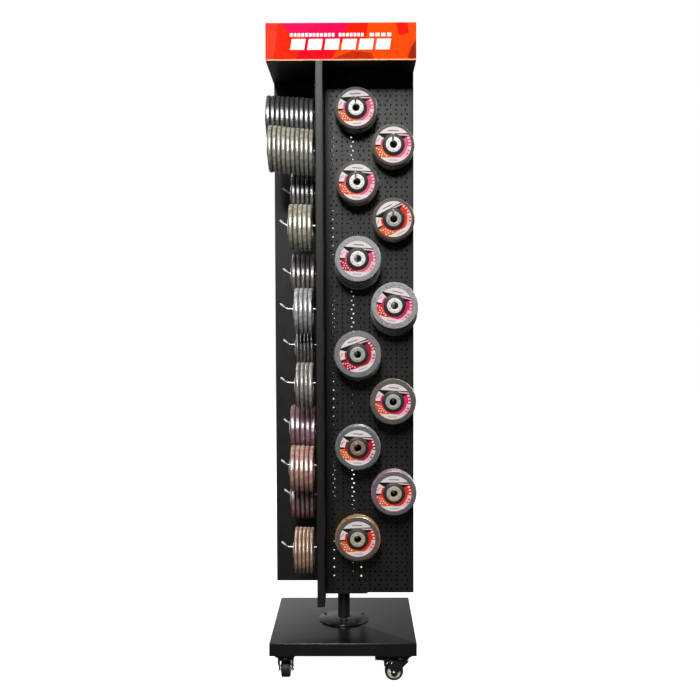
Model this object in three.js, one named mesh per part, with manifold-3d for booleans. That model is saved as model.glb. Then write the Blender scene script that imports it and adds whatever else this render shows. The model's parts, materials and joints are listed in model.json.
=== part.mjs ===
// Rotating four-sided display stand of perforated sheet metal, on a wheeled base.
//
// Four folded panels stand in a pinwheel round a square core and make four open bays. The core turns
// on a fixed pole. A sign box closes the top, and wire hooks hang in two of the bays.
//
// Units are millimetres. +Z is up, the origin is on the floor under the pole, and the front is -Y.
import * as THREE from "three";
import { mergeVertices } from "three/addons/utils/BufferGeometryUtils.js";
import Module from "manifold-3d";

const wasm = await Module();
wasm.setup();

// ---------------------------------------------------------------- driving dimensions
const GAP = 0.3; // clearance between pieces that touch

const BASE_WIDTH = 396;
const BASE_TOP = 112;
const BASE_SKIRT = 34.5;
const BASE_SHEET = 2;
const BASE_CORNER = 3;
const RAIL_X = 157;
const RAIL_LENGTH = 372;
const RAIL_WIDTH = 56;

const FLANGE_RADIUS = 71;
const FLANGE_THICKNESS = 4.5;
const POLE_RADIUS = 17.5;
const POLE_WALL = 2.5;
const POLE_TOP = 1636;

const PANEL_BOTTOM = 210;
const PANEL_TOP = 1656;
const PANEL_SHEET = 1.2;
const FACE_OFFSET = 68; // distance from the pole axis to each perforated face
const WING_DEPTH = 20; // thickness of the folded wing
const TOWER_HALF = 197.5; // distance from the pole axis to each wing's outer edge

const HEADER_TOP = 1754;
const HEADER_HALF = 197;
const SIGN_THICKNESS = 1;

// Perforation: the hook rows lie ROW_PITCH apart, and every hook bracket spans two holes of one row.
const FIRST_HOOK_ROW = PANEL_BOTTOM + 22.5;
const ROW_PITCH = 25;
const INNER_COLUMN = 37.5;
const OUTER_COLUMN = 137.5;

const WIRE_RADIUS = 2.5;
const HOOK_REACH = 98;
const LONG_HOOK_REACH = 128;
const HOOK_RISE = 13.5;

const CASTER_X = 157;
const CASTER_Y = 160;
const WHEEL_RADIUS = 25;
const CASTER_TRAIL = 19;

// ---------------------------------------------------------------- materials
const paint = (color, roughness, metalness) =>
  new THREE.MeshStandardMaterial({ color, roughness, metalness });
const BLACK_POWDER_COAT = paint(0x1b1b1a, 0.5, 0.3);
const ZINC = paint(0xb9bbbd, 0.3, 0.9);
const STEEL = paint(0xd5d6d8, 0.2, 1.0);
const SIGN_PRINT = paint(0xe8472a, 0.4, 0.0);
const NYLON = paint(0xdedace, 0.5, 0.0);
const BLACK_RUBBER = paint(0x17171a, 0.7, 0.0);

// ---------------------------------------------------------------- solids
// A closed three.js geometry as a manifold solid, so that it can be joined or cut.
function solid(geometry) {
  const bare = geometry.index ? geometry.toNonIndexed() : geometry.clone();
  bare.deleteAttribute("normal");
  bare.deleteAttribute("uv");
  const merged = mergeVertices(bare, 1e-4);
  return new wasm.Manifold(
    new wasm.Mesh({
      numProp: 3,
      vertProperties: merged.attributes.position.array,
      triVerts: new Uint32Array(merged.index.array),
    }),
  );
}

function geometryOf(manifold) {
  const mesh = manifold.getMesh();
  return new THREE.BufferGeometry()
    .setAttribute("position", new THREE.BufferAttribute(mesh.vertProperties, 3))
    .setIndex(new THREE.BufferAttribute(mesh.triVerts, 1));
}

const joined = (...geometries) => geometryOf(geometries.map(solid).reduce((a, b) => a.add(b)));
const cut = (body, ...tools) => geometryOf(tools.map(solid).reduce((a, b) => a.subtract(b), solid(body)));

// A box from its lowest and highest corners.
function block([x0, y0, z0], [x1, y1, z1]) {
  const box = new THREE.BoxGeometry(x1 - x0, y1 - y0, z1 - z0);
  return box.translate((x0 + x1) / 2, (y0 + y1) / 2, (z0 + z1) / 2);
}

// A closed outline in the XY plane, raised from z0 to z1.
function raised(points, z0, z1) {
  const shape = new THREE.Shape(points.map(([x, y]) => new THREE.Vector2(x, y)));
  const body = new THREE.ExtrudeGeometry(shape, { depth: z1 - z0, bevelEnabled: false });
  return body.translate(0, 0, z0);
}

function square(half, corner, z0, z1) {
  const shape = new THREE.Shape();
  shape.moveTo(half - corner, -half);
  for (let side = 0; side < 4; side++) {
    const angle = (side * Math.PI) / 2;
    const [c, s] = [Math.round(Math.cos(angle)), Math.round(Math.sin(angle))];
    const turn = (x, y) => [c * x - s * y, s * x + c * y];
    shape.absarc(...turn(half - corner, corner - half), corner, angle - Math.PI / 2, angle);
  }
  const body = new THREE.ExtrudeGeometry(shape, {
    depth: z1 - z0,
    bevelEnabled: false,
    curveSegments: 3,
  });
  return body.translate(0, 0, z0);
}

// A body of revolution about Z: points are [radius, z], listed upwards on the outside.
function turned(points, segments = 32) {
  const profile = points.map(([r, z]) => new THREE.Vector2(r, z));
  return new THREE.LatheGeometry(profile, segments).rotateX(Math.PI / 2);
}

const ring = (inner, outer, z0, z1, segments) =>
  turned([[inner, z0], [outer, z0], [outer, z1], [inner, z1], [inner, z0]], segments);
const rod = (radius, z0, z1, segments) =>
  turned([[0, z0], [radius, z0], [radius, z1], [0, z1]], segments);

const stand = new THREE.Group();

function add(parent, name, geometry, material) {
  const mesh = new THREE.Mesh(geometry, material);
  mesh.name = name;
  parent.add(mesh);
  return mesh;
}

// ---------------------------------------------------------------- base
function baseTray() {
  const half = BASE_WIDTH / 2;
  const inside = half - BASE_SHEET;
  const outer = square(half, BASE_CORNER, BASE_TOP - BASE_SKIRT, BASE_TOP);
  const hollow = square(inside, 1, BASE_TOP - BASE_SKIRT - 1, BASE_TOP - BASE_SHEET);
  return cut(outer, hollow);
}

// A channel under the tray, open downwards at its ends, that carries two casters.
function baseRail(x) {
  const top = BASE_TOP - BASE_SHEET - GAP;
  const bottom = CASTER_PLATE_TOP + GAP;
  const sheet = 2.5;
  const [w, l] = [RAIL_WIDTH / 2, RAIL_LENGTH / 2];
  const outer = block([x - w, -l, bottom], [x + w, l, top]);
  const inner = block([x - w + sheet, -l - 1, bottom + sheet], [x + w - sheet, l + 1, top + 1]);
  return cut(outer, inner);
}

const FLANGE_TOP = BASE_TOP + GAP + FLANGE_THICKNESS;
const TUBE_INSIDE = POLE_RADIUS - POLE_WALL - GAP;

// The round foot plate has a spigot that fills the pole's lower end.
function poleFlange() {
  return turned([
    [0, BASE_TOP + GAP],
    [FLANGE_RADIUS, BASE_TOP + GAP],
    [FLANGE_RADIUS, FLANGE_TOP - 0.8],
    [FLANGE_RADIUS - 0.8, FLANGE_TOP],
    [TUBE_INSIDE, FLANGE_TOP],
    [TUBE_INSIDE, FLANGE_TOP + 30],
    [0, FLANGE_TOP + 30],
  ], 32);
}

// The bearing is plugged into the pole's top end, and the tower hangs on it.
const BEARING_TOP = POLE_TOP + 12;
function thrustBearing() {
  return turned([
    [0, POLE_TOP - 25],
    [TUBE_INSIDE, POLE_TOP - 25],
    [TUBE_INSIDE, POLE_TOP + GAP],
    [22, POLE_TOP + GAP],
    [22, BEARING_TOP],
    [8, BEARING_TOP],
    [8, PANEL_TOP + 8],
    [0, PANEL_TOP + 8],
  ], 24);
}

// ---------------------------------------------------------------- tower
// One panel in the front bay's place: its perforated face looks to -Y, and it is folded back
// round the outer edge into a plain rear skin, so that the wing is a hollow slab. A short flange
// inside the core laps the neighbouring panel's rear skin.
const WING_BACK = FACE_OFFSET - WING_DEPTH;
function panel() {
  const t = PANEL_SHEET;
  const start = -WING_BACK + GAP;
  const flange = 16;
  const overlap = FACE_OFFSET - flange;
  return raised([
    [start, -FACE_OFFSET],
    [TOWER_HALF, -FACE_OFFSET],
    [TOWER_HALF, -WING_BACK],
    [overlap, -WING_BACK],
    [overlap, -WING_BACK - t],
    [TOWER_HALF - t, -WING_BACK - t],
    [TOWER_HALF - t, -FACE_OFFSET + t],
    [start + t, -FACE_OFFSET + t],
    [start + t, -FACE_OFFSET + flange],
    [start, -FACE_OFFSET + flange],
  ], PANEL_BOTTOM, PANEL_TOP);
}

const BUSH_INNER = POLE_RADIUS + 0.5;
const BUSH_OUTER = BUSH_INNER + 3.5;
const PLATE_TOP = PANEL_BOTTOM - GAP;
const PLATE_BOTTOM = PLATE_TOP - 3;

// The plate that closes the core below, with the flared hub that holds the lower bush.
function coreBottomPlate() {
  const plate = square(FACE_OFFSET, 1, PLATE_BOTTOM, PLATE_TOP);
  const bore = rod(BUSH_OUTER + GAP, PLATE_BOTTOM - 1, PLATE_TOP + 1, 24);
  const hub = turned([
    [BUSH_OUTER + GAP, PLATE_BOTTOM - 6],
    [BUSH_OUTER + 1.5, PLATE_BOTTOM - 6],
    [BUSH_OUTER + 3, PLATE_BOTTOM - 2.5],
    [BUSH_OUTER + 7, PLATE_BOTTOM + 0.5],
    [BUSH_OUTER + 4, PLATE_TOP],
    [BUSH_OUTER + 4, PLATE_TOP + 26],
    [BUSH_OUTER + GAP, PLATE_TOP + 26],
    [BUSH_OUTER + GAP, PLATE_BOTTOM - 6],
  ], 24);
  return geometryOf(solid(plate).subtract(solid(bore)).add(solid(hub)));
}

const lowerBush = () => ring(BUSH_INNER, BUSH_OUTER, PLATE_BOTTOM - 5, PLATE_TOP + 24, 24);

// The square tray between the panels and the sign box: it ties the panels together, and its
// thickened middle rests on the bearing.
const TRAY_BOTTOM = PANEL_TOP + GAP;
const TRAY_SHEET = 2;
function headerTray() {
  const half = HEADER_HALF - SIGN_THICKNESS - GAP;
  const outer = square(half, 1, TRAY_BOTTOM, TRAY_BOTTOM + 14);
  const hollow = square(half - TRAY_SHEET, 1, TRAY_BOTTOM + TRAY_SHEET, TRAY_BOTTOM + 15);
  const boss = rod(30, BEARING_TOP + GAP, TRAY_BOTTOM + TRAY_SHEET, 24);
  const bore = rod(8 + GAP, BEARING_TOP, TRAY_BOTTOM + TRAY_SHEET + 1, 24);
  return geometryOf(solid(outer).subtract(solid(hollow)).add(solid(boss)).subtract(solid(bore)));
}

// The lid and walls of the sign box drop over the tray's upturned rim.
const RIM_TOP = TRAY_BOTTOM + 14;
function headerBox() {
  const half = HEADER_HALF - SIGN_THICKNESS - GAP;
  const outer = square(half, 1, RIM_TOP + GAP, HEADER_TOP);
  const hollow = square(half - TRAY_SHEET, 1, RIM_TOP, HEADER_TOP - TRAY_SHEET);
  return cut(outer, hollow);
}

// One printed sign face, on the box's -Y side. Each laps the end of the next at the corner.
function signFace() {
  const inner = HEADER_HALF - SIGN_THICKNESS;
  return block([-inner + GAP, -HEADER_HALF, TRAY_BOTTOM], [HEADER_HALF, -inner, HEADER_TOP - 1]);
}

// A wire hook, in its own frame: it leaves the panel at the origin along -Y, almost level, and
// its end turns up. A flat bracket carries it.
function hook(reach) {
  const points = [
    [0.6, 0],
    [reach * 0.4, 0.3],
    [reach - 24, 0.7],
    [reach - 16, 1.8],
    [reach - 10, 5.5],
    [reach, HOOK_RISE],
  ].map(([out, up]) => new THREE.Vector3(0, -out, up));
  const section = new THREE.Shape().absarc(0, 0, WIRE_RADIUS, 0, 2 * Math.PI);
  const wire = new THREE.ExtrudeGeometry(section, {
    steps: 9,
    curveSegments: 4,
    extrudePath: new THREE.CatmullRomCurve3(points),
  });
  const bracket = block([-17, -GAP - 1.6, -7], [17, -GAP, 7]);
  return joined(bracket, wire);
}

// ---------------------------------------------------------------- casters
// Each caster is drawn in its own frame: the kingpin is at the origin, and the wheel trails to +X.
const CASTER_PLATE_TOP = 71.5;
const CASTER_PLATE_BOTTOM = 69;
const HEAD_TOP = 66.5;
const HEAD_BOTTOM = 58;
const HEAD_RADIUS = 22.5;
const KINGPIN_RADIUS = 4;
const LEG_OUTSIDE = 20;
const LEG_INSIDE = 17.5;
const AXLE_RADIUS = 4;
const PEDAL_PIVOT = [CASTER_TRAIL + 19, 50.5];

// The side outline of a fork leg, as [x, z] from the head down to the axle boss and back.
function legOutline() {
  const boss = 8.5;
  const shape = new THREE.Shape();
  shape.moveTo(-HEAD_RADIUS + 1, HEAD_BOTTOM);
  shape.lineTo(-2, 36);
  shape.lineTo(CASTER_TRAIL - boss, WHEEL_RADIUS + 2);
  shape.absarc(CASTER_TRAIL, WHEEL_RADIUS, boss, Math.PI * 0.92, Math.PI * 2.05);
  shape.lineTo(CASTER_TRAIL + 8, 39);
  shape.lineTo(CASTER_TRAIL + 26, 41);
  shape.lineTo(CASTER_TRAIL + 26, 54);
  shape.lineTo(CASTER_TRAIL + 5, HEAD_BOTTOM);
  return shape;
}

// A leg-shaped plate between two distances from the wheel's middle plane.
function sidePlate(shape, near, far) {
  const plate = new THREE.ExtrudeGeometry(shape, {
    depth: far - near,
    bevelEnabled: false,
    curveSegments: 5,
  });
  return plate.rotateX(Math.PI / 2).translate(0, far, 0);
}

// A round hole or pin across the caster, at [x, z].
const crossRod = ([x, z], radius, near, far, segments = 12) =>
  rod(radius, near, far, segments).rotateX(-Math.PI / 2).translate(x, 0, z);

function fork() {
  const head = turned([
    [KINGPIN_RADIUS + GAP, HEAD_BOTTOM - 2.5],
    [HEAD_RADIUS - 4, HEAD_BOTTOM - 2.5],
    [HEAD_RADIUS, HEAD_BOTTOM + 1],
    [HEAD_RADIUS, HEAD_TOP - 3],
    [HEAD_RADIUS - 3, HEAD_TOP],
    [KINGPIN_RADIUS + GAP, HEAD_TOP],
    [KINGPIN_RADIUS + GAP, HEAD_BOTTOM - 2.5],
  ], 20);
  const bridge = block([6, -LEG_OUTSIDE, HEAD_BOTTOM - 2.5], [CASTER_TRAIL + 5, LEG_OUTSIDE, HEAD_BOTTOM]);
  const legs = [[-LEG_OUTSIDE, -LEG_INSIDE], [LEG_INSIDE, LEG_OUTSIDE]].map(([near, far]) =>
    solid(sidePlate(legOutline(), near, far)),
  );
  const body = [solid(head), solid(bridge), ...legs].reduce((a, b) => a.add(b));
  const axleBore = crossRod([CASTER_TRAIL, WHEEL_RADIUS], AXLE_RADIUS + GAP, -30, 30);
  const pivotBore = crossRod(PEDAL_PIVOT, 2.5 + GAP, -30, 30);
  return geometryOf(body.subtract(solid(axleBore)).subtract(solid(pivotBore)));
}

// The mounting plate, with its upper ball race and the kingpin that the fork hangs on.
function casterPlate() {
  const plate = square(26, 4, CASTER_PLATE_BOTTOM, CASTER_PLATE_TOP);
  const kingpin = turned([
    [0, HEAD_BOTTOM - 5],
    [7, HEAD_BOTTOM - 5],
    [7, HEAD_BOTTOM - 2.5 - GAP],
    [KINGPIN_RADIUS, HEAD_BOTTOM - 2.5 - GAP],
    [KINGPIN_RADIUS, HEAD_TOP + GAP],
    [18, HEAD_TOP + GAP],
    [18, CASTER_PLATE_TOP - 1],
    [0, CASTER_PLATE_TOP - 1],
  ], 16);
  return joined(plate, kingpin);
}

// The tyre and the wider hub are one moulded wheel, bored for the axle.
function wheel() {
  const half = 12;
  const hubHalf = 15.5;
  const bore = AXLE_RADIUS + GAP;
  const body = turned([
    [bore, -hubHalf],
    [16, -hubHalf],
    [18, -half],
    [WHEEL_RADIUS - 3, -half],
    [WHEEL_RADIUS, -half + 4],
    [WHEEL_RADIUS, half - 4],
    [WHEEL_RADIUS - 3, half],
    [18, half],
    [16, hubHalf],
    [bore, hubHalf],
    [bore, -hubHalf],
  ], 28);
  return body.rotateX(-Math.PI / 2).translate(CASTER_TRAIL, 0, WHEEL_RADIUS);
}

function axleBolt() {
  const end = LEG_OUTSIDE + GAP;
  const bolt = turned([
    [0, -end - 4],
    [5.7, -end - 4],
    [5.7, -end],
    [AXLE_RADIUS, -end],
    [AXLE_RADIUS, end],
    [5.7, end],
    [5.7, end + 4],
    [0, end + 4],
  ], 12);
  return bolt.rotateX(-Math.PI / 2).translate(CASTER_TRAIL, 0, WHEEL_RADIUS);
}

// The brake pedal turns on a cross pin between the legs, and its nose presses on the tyre.
function brakePedal() {
  const width = 14;
  const [px, pz] = PEDAL_PIVOT;
  const shape = new THREE.Shape();
  shape.moveTo(px - 10, pz + 5.5);
  shape.lineTo(px - 4, pz - 3);
  shape.lineTo(px + 4.5, pz - 10.8);
  shape.lineTo(px + 8, pz - 10);
  shape.lineTo(px + 9, pz + 5.5);
  shape.lineTo(CASTER_TRAIL + 51, pz + 7);
  shape.lineTo(CASTER_TRAIL + 51, pz + 10);
  shape.lineTo(px - 8, pz + 10);
  const lever = sidePlate(shape, -width, width);
  const pin = crossRod(PEDAL_PIVOT, 2.5, -LEG_OUTSIDE - 1, LEG_OUTSIDE + 1);
  return joined(lever, pin);
}

// ---------------------------------------------------------------- assembly
add(stand, "base_tray", baseTray(), BLACK_POWDER_COAT);
add(stand, "base_rail_left", baseRail(-RAIL_X), BLACK_POWDER_COAT);
add(stand, "base_rail_right", baseRail(RAIL_X), BLACK_POWDER_COAT);
add(stand, "pole_flange", poleFlange(), BLACK_POWDER_COAT);
add(stand, "pole", ring(POLE_RADIUS - POLE_WALL, POLE_RADIUS, FLANGE_TOP + GAP, POLE_TOP, 32), BLACK_POWDER_COAT);
add(stand, "thrust_bearing", thrustBearing(), ZINC);

const tower = new THREE.Group();
stand.add(tower);
const BAYS = ["front", "right", "rear", "left"]; // each a quarter turn on from the one before
BAYS.forEach((bay, i) => {
  const turn = (i * Math.PI) / 2;
  add(tower, `panel_${bay}`, panel(), BLACK_POWDER_COAT).rotation.z = turn;
  add(tower, `sign_${bay}`, signFace(), SIGN_PRINT).rotation.z = turn;
});
add(tower, "core_bottom_plate", coreBottomPlate(), BLACK_POWDER_COAT);
add(tower, "lower_bush", lowerBush(), NYLON);
add(tower, "header_tray", headerTray(), BLACK_POWDER_COAT);
add(tower, "header_box", headerBox(), BLACK_POWDER_COAT);

// Hooks: [perforation row, column], from the top down. The left bay's columns count from the
// pole towards the front.
const FRONT_HOOKS = [53, 49, 45, 41, 36, 31, 26, 21, 16, 11, 6].map((row, i) => [
  row,
  i % 2 ? OUTER_COLUMN : INNER_COLUMN,
]);
const LEFT_HOOKS = [53, 48, 44, 40, 35, 31, 27, 23, 18, 14, 10, 5].map((row, i) => [
  row,
  i % 2 ? OUTER_COLUMN : INNER_COLUMN,
]);
const LONG_LEFT_HOOKS = 2;
const rowHeight = (row) => FIRST_HOOK_ROW + row * ROW_PITCH;

FRONT_HOOKS.forEach(([row, column], i) => {
  const mesh = add(tower, `hook_front_${i + 1}`, hook(HOOK_REACH), ZINC);
  mesh.position.set(column, -FACE_OFFSET, rowHeight(row));
});
LEFT_HOOKS.forEach(([row, column], i) => {
  const reach = i < LONG_LEFT_HOOKS ? LONG_HOOK_REACH : HOOK_REACH;
  const mesh = add(tower, `hook_left_${i + 1}`, hook(reach), ZINC);
  mesh.position.set(-FACE_OFFSET, -column, rowHeight(row));
  mesh.rotation.z = -Math.PI / 2;
});

// Casters: where each stands, which way its wheel trails, and whether it has a brake.
const CASTERS = [
  { name: "front_left", x: -CASTER_X, y: -CASTER_Y, trails: Math.PI / 2, brake: true },
  { name: "front_right", x: CASTER_X, y: -CASTER_Y, trails: Math.PI, brake: true },
  { name: "rear_left", x: -CASTER_X, y: CASTER_Y, trails: 0, brake: false },
  { name: "rear_right", x: CASTER_X, y: CASTER_Y, trails: Math.PI, brake: false },
];
for (const { name, x, y, trails, brake } of CASTERS) {
  const caster = new THREE.Group();
  caster.position.set(x, y, 0);
  caster.rotation.z = trails;
  stand.add(caster);
  add(caster, `caster_plate_${name}`, casterPlate(), ZINC);
  add(caster, `fork_${name}`, fork(), BLACK_POWDER_COAT);
  add(caster, `wheel_${name}`, wheel(), BLACK_RUBBER);
  add(caster, `axle_${name}`, axleBolt(), STEEL);
  if (brake) add(caster, `brake_pedal_${name}`, brakePedal(), BLACK_POWDER_COAT);
}

export default stand;
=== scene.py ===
"""Looks of the rotating four-sided display stand: perforated panels, sign faces, wire hooks, goods,
pole, base and casters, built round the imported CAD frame. Pieces are drawn in millimetres and made in
metres; the camera, the lights and the floor are in metres. +Z is up and the front is towards -Y."""

import json
import math
import random

import bmesh
import bpy
import numpy as np
from mathutils import Matrix, Vector
from mathutils.geometry import delaunay_2d_cdt


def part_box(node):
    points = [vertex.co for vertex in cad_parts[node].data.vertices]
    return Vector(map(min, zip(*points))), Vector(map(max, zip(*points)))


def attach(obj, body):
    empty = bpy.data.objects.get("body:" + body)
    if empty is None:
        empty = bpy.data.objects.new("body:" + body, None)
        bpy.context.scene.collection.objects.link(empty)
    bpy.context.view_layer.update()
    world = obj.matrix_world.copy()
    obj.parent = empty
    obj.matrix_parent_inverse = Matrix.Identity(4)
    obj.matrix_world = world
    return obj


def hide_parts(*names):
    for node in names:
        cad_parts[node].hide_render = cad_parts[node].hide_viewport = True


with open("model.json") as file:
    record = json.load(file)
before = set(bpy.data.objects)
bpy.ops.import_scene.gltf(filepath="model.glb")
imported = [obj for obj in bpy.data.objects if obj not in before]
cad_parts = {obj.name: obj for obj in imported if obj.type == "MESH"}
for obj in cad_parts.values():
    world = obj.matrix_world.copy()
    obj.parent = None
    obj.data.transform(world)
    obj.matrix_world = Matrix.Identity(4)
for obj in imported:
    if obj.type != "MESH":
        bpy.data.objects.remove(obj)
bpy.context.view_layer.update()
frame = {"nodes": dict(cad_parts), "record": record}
random.seed(11)
MM = 0.001


def top(node):
    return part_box(node)[1].z / MM


def bottom(node):
    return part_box(node)[0].z / MM


def colour(code):
    """Linear red, green and blue from a hex code."""
    parts = [int(code[i : i + 2], 16) / 255 for i in (0, 2, 4)]
    return tuple(c / 12.92 if c <= 0.04045 else ((c + 0.055) / 1.055) ** 2.4 for c in parts)


# ---------------------------------------------------------------- camera, lights and floor
camera = bpy.data.objects.new("camera", bpy.data.cameras.new("camera"))
camera.data.lens = 46.36
camera.data.sensor_width = 36
camera.data.clip_end = 50
camera.matrix_world = (
    Matrix.Translation((0.0406, -2.5798, 0.9907))
    @ Matrix.Rotation(math.radians(0.46), 4, "Z")
    @ Matrix.Rotation(math.radians(87.79), 4, "X")
    @ Matrix.Rotation(math.radians(-0.18), 4, "Z")
)
bpy.context.scene.collection.objects.link(camera)
bpy.context.scene.camera = camera
bpy.context.scene.view_settings.view_transform = "Standard"


def softbox(name, place, aim, size, power):
    """A rectangular light that the camera doesn't see, aimed at a point; its power is in watts."""
    lamp = bpy.data.lights.new(name, "AREA")
    lamp.shape, lamp.energy = "RECTANGLE", power
    lamp.size, lamp.size_y = size
    thing = bpy.data.objects.new(name, lamp)
    thing.location = place
    thing.rotation_euler = (Vector(aim) - Vector(place)).to_track_quat("-Z", "Y").to_euler()
    thing.visible_camera = False
    bpy.context.scene.collection.objects.link(thing)


softbox("key", (-0.35, -4.1, 4.4), (0, 0, 1.0), (1.5, 3.0), 285)
softbox("low_key", (-0.5, -5.2, 3.5), (0, 0, 1.0), (1.0, 0.5), 62)
softbox("low_fill", (-0.6, -4.4, 0.55), (0, 0, 0.9), (1.8, 1.8), 1.4)
softbox("floor_bounce", (-0.1, -1.1, 0.04), (-0.1, -0.3, 1.4), (1.0, 1.0), 0.5)
for kind, x, y, z, size, power in (("side", 4.2, 0.3, 3.9, 1.6, 110), ("rear", 3.0, 3.4, 3.6, 1.4, 150)):
    for side, sign in (("left", -1), ("right", 1)):
        softbox(f"{kind}_{side}", (sign * x, y, z), (0, 0, 0.9), (size, size), power)


def spread(tree, value, low, high, start=0.3, end=0.7):
    """The value's middle range, stretched from low to high."""
    made = tree.nodes.new("ShaderNodeMapRange")
    for socket, number in (("From Min", start), ("From Max", end), ("To Min", low), ("To Max", high)):
        made.inputs[socket].default_value = number
    tree.links.new(value, made.inputs["Value"])
    return made.outputs[0]


# The room's brightness by direction: an axis, where the change starts and ends, and the share at each.
ROOM_SHADE = (
    ("Y", -0.2, 0.5, 0.008, 0.62),
    ("Z", -0.25, 0.05, 0.35, 1.0),
    ("Z", 0.27, 0.38, 1.0, 0.45),
    ("X", -0.13, 0.1, 1.0, 0.45),
)


def studio_world():
    """A pale studio: bright walls behind the stand, and a dim front half round the softboxes."""
    world = bpy.data.worlds.new("studio")
    bpy.context.scene.world = world
    world.use_nodes = True
    tree = world.node_tree
    tree.nodes.clear()
    new, link = tree.nodes.new, tree.links.new
    where, split = new("ShaderNodeTexCoord"), new("ShaderNodeSeparateXYZ")
    link(where.outputs["Generated"], split.inputs[0])
    shares = [spread(tree, split.outputs[axis], low, high, start, end)
              for axis, start, end, low, high in ROOM_SHADE]
    strength = shares[0]
    for share in shares[1:]:
        both = new("ShaderNodeMath")
        both.operation = "MULTIPLY"
        link(strength, both.inputs[0])
        link(share, both.inputs[1])
        strength = both.outputs[0]
    room, backdrop, mix = (new(f"ShaderNode{kind}") for kind in ("Background", "Background", "MixShader"))
    link(strength, room.inputs["Strength"])
    backdrop.inputs["Strength"].default_value = 1.0
    for sky in (room, backdrop):
        sky.inputs["Color"].default_value = (1, 1, 1, 1)
    path, out = new("ShaderNodeLightPath"), new("ShaderNodeOutputWorld")
    link(path.outputs["Is Camera Ray"], mix.inputs[0])
    link(room.outputs[0], mix.inputs[1])
    link(backdrop.outputs[0], mix.inputs[2])
    link(mix.outputs[0], out.inputs["Surface"])


studio_world()


# ---------------------------------------------------------------- materials
def principled(name, **sockets):
    """A new material, its nodes and its shader, with constants set on the shader's own sockets."""
    made = bpy.data.materials.new(name)
    made.use_nodes = True
    shader = made.node_tree.nodes["Principled BSDF"]
    for key, value in sockets.items():
        shader.inputs[key.replace("_", " ")].default_value = value
    return made, made.node_tree, shader


def noise(tree, scale, detail=3.0):
    """Noise in the piece's own space, with features about 1/scale metres across."""
    where, made = tree.nodes.new("ShaderNodeTexCoord"), tree.nodes.new("ShaderNodeTexNoise")
    made.inputs["Scale"].default_value, made.inputs["Detail"].default_value = scale, detail
    tree.links.new(where.outputs["Object"], made.inputs["Vector"])
    return made.outputs[0]


def blend(tree, share, first, second, mode="MIX"):
    """Two colours mixed; each is a tuple or another node's output."""
    made = tree.nodes.new("ShaderNodeMix")
    made.data_type, made.blend_type = "RGBA", mode
    for socket, value in ((0, share), (6, first), (7, second)):
        if isinstance(value, tuple):
            made.inputs[socket].default_value = (*value, 1)
        elif isinstance(value, (int, float)):
            made.inputs[socket].default_value = value
        else:
            tree.links.new(value, made.inputs[socket])
    return made.outputs[2]


def bump(tree, shader, height, strength, depth):
    """Raises the surface by height; a second call adds to the first."""
    made = tree.nodes.new("ShaderNodeBump")
    made.inputs["Strength"].default_value = strength
    made.inputs["Distance"].default_value = depth
    tree.links.new(height, made.inputs["Height"])
    if shader.inputs["Normal"].links:
        tree.links.new(shader.inputs["Normal"].links[0].from_socket, made.inputs["Normal"])
    tree.links.new(made.outputs[0], shader.inputs["Normal"])


def speckled(name, dark, light, rough, grain, depth, mottle=35.0, strength=0.5, **sockets):
    """A finish that varies between two colours and two roughnesses, with a fine grain of its own."""
    made, tree, shader = principled(name, **sockets)
    cloudy, fine = noise(tree, mottle), noise(tree, grain, 2.0)
    tree.links.new(blend(tree, spread(tree, cloudy, 0, 1), dark, light), shader.inputs["Base Color"])
    tree.links.new(spread(tree, blend(tree, 0.5, cloudy, fine), *rough), shader.inputs["Roughness"])
    bump(tree, shader, fine, strength, depth)
    return made


def tinted(name, rough, grain, depth, contrast, ruffle=0.0, **sockets):
    """A finish whose colour is painted on the mesh as the Tint attribute, broken up by a grain.
    Ruffle is the depth of a coarser unevenness, a few millimetres across."""
    made, tree, shader = principled(name, **sockets)
    paint = tree.nodes.new("ShaderNodeAttribute")
    paint.attribute_name = "Tint"
    fine = noise(tree, grain, 4.0)
    shade = spread(tree, fine, 1 - contrast, 1 + contrast)
    tree.links.new(blend(tree, 1.0, paint.outputs["Color"], shade, "MULTIPLY"), shader.inputs["Base Color"])
    tree.links.new(spread(tree, fine, *rough), shader.inputs["Roughness"])
    bump(tree, shader, fine, 0.6, depth)
    if ruffle:
        bump(tree, shader, noise(tree, 330, 1.0), 1.0, ruffle)
        tree.links.new(shader.inputs["Normal"].links[0].from_socket, shader.inputs["Coat Normal"])
    return made


# Each of these is a name, dark and light colour, roughness, grain per metre and bump depth in metres.
BLACKS = (0.0044, 0.0036, 0.0022), (0.0068, 0.0054, 0.0034)
SATIN = {"Specular_IOR_Level": 0.05, "Coat_Weight": 0.88, "Coat_Roughness": 0.2}
COAT = speckled("powder_coat", *BLACKS, (0.4, 0.5), 1100, 0.00006, Specular_IOR_Level=0.5)
# A darker, duller copy of the coat for the panels' inner sides: painted shade inside the tower, seen through
# the holes.
INSIDE_SHADE_COAT = speckled("powder_coat_inside_painted_shade", (0.002, 0.002, 0.002), (0.003, 0.003, 0.003), (0.8, 0.9), 1100,
                       0.00006, Specular_IOR_Level=0.1)
SATIN_COAT = speckled("powder_coat_base", *BLACKS, (0.4, 0.5), 1100, 0.00004, **SATIN)
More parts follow.
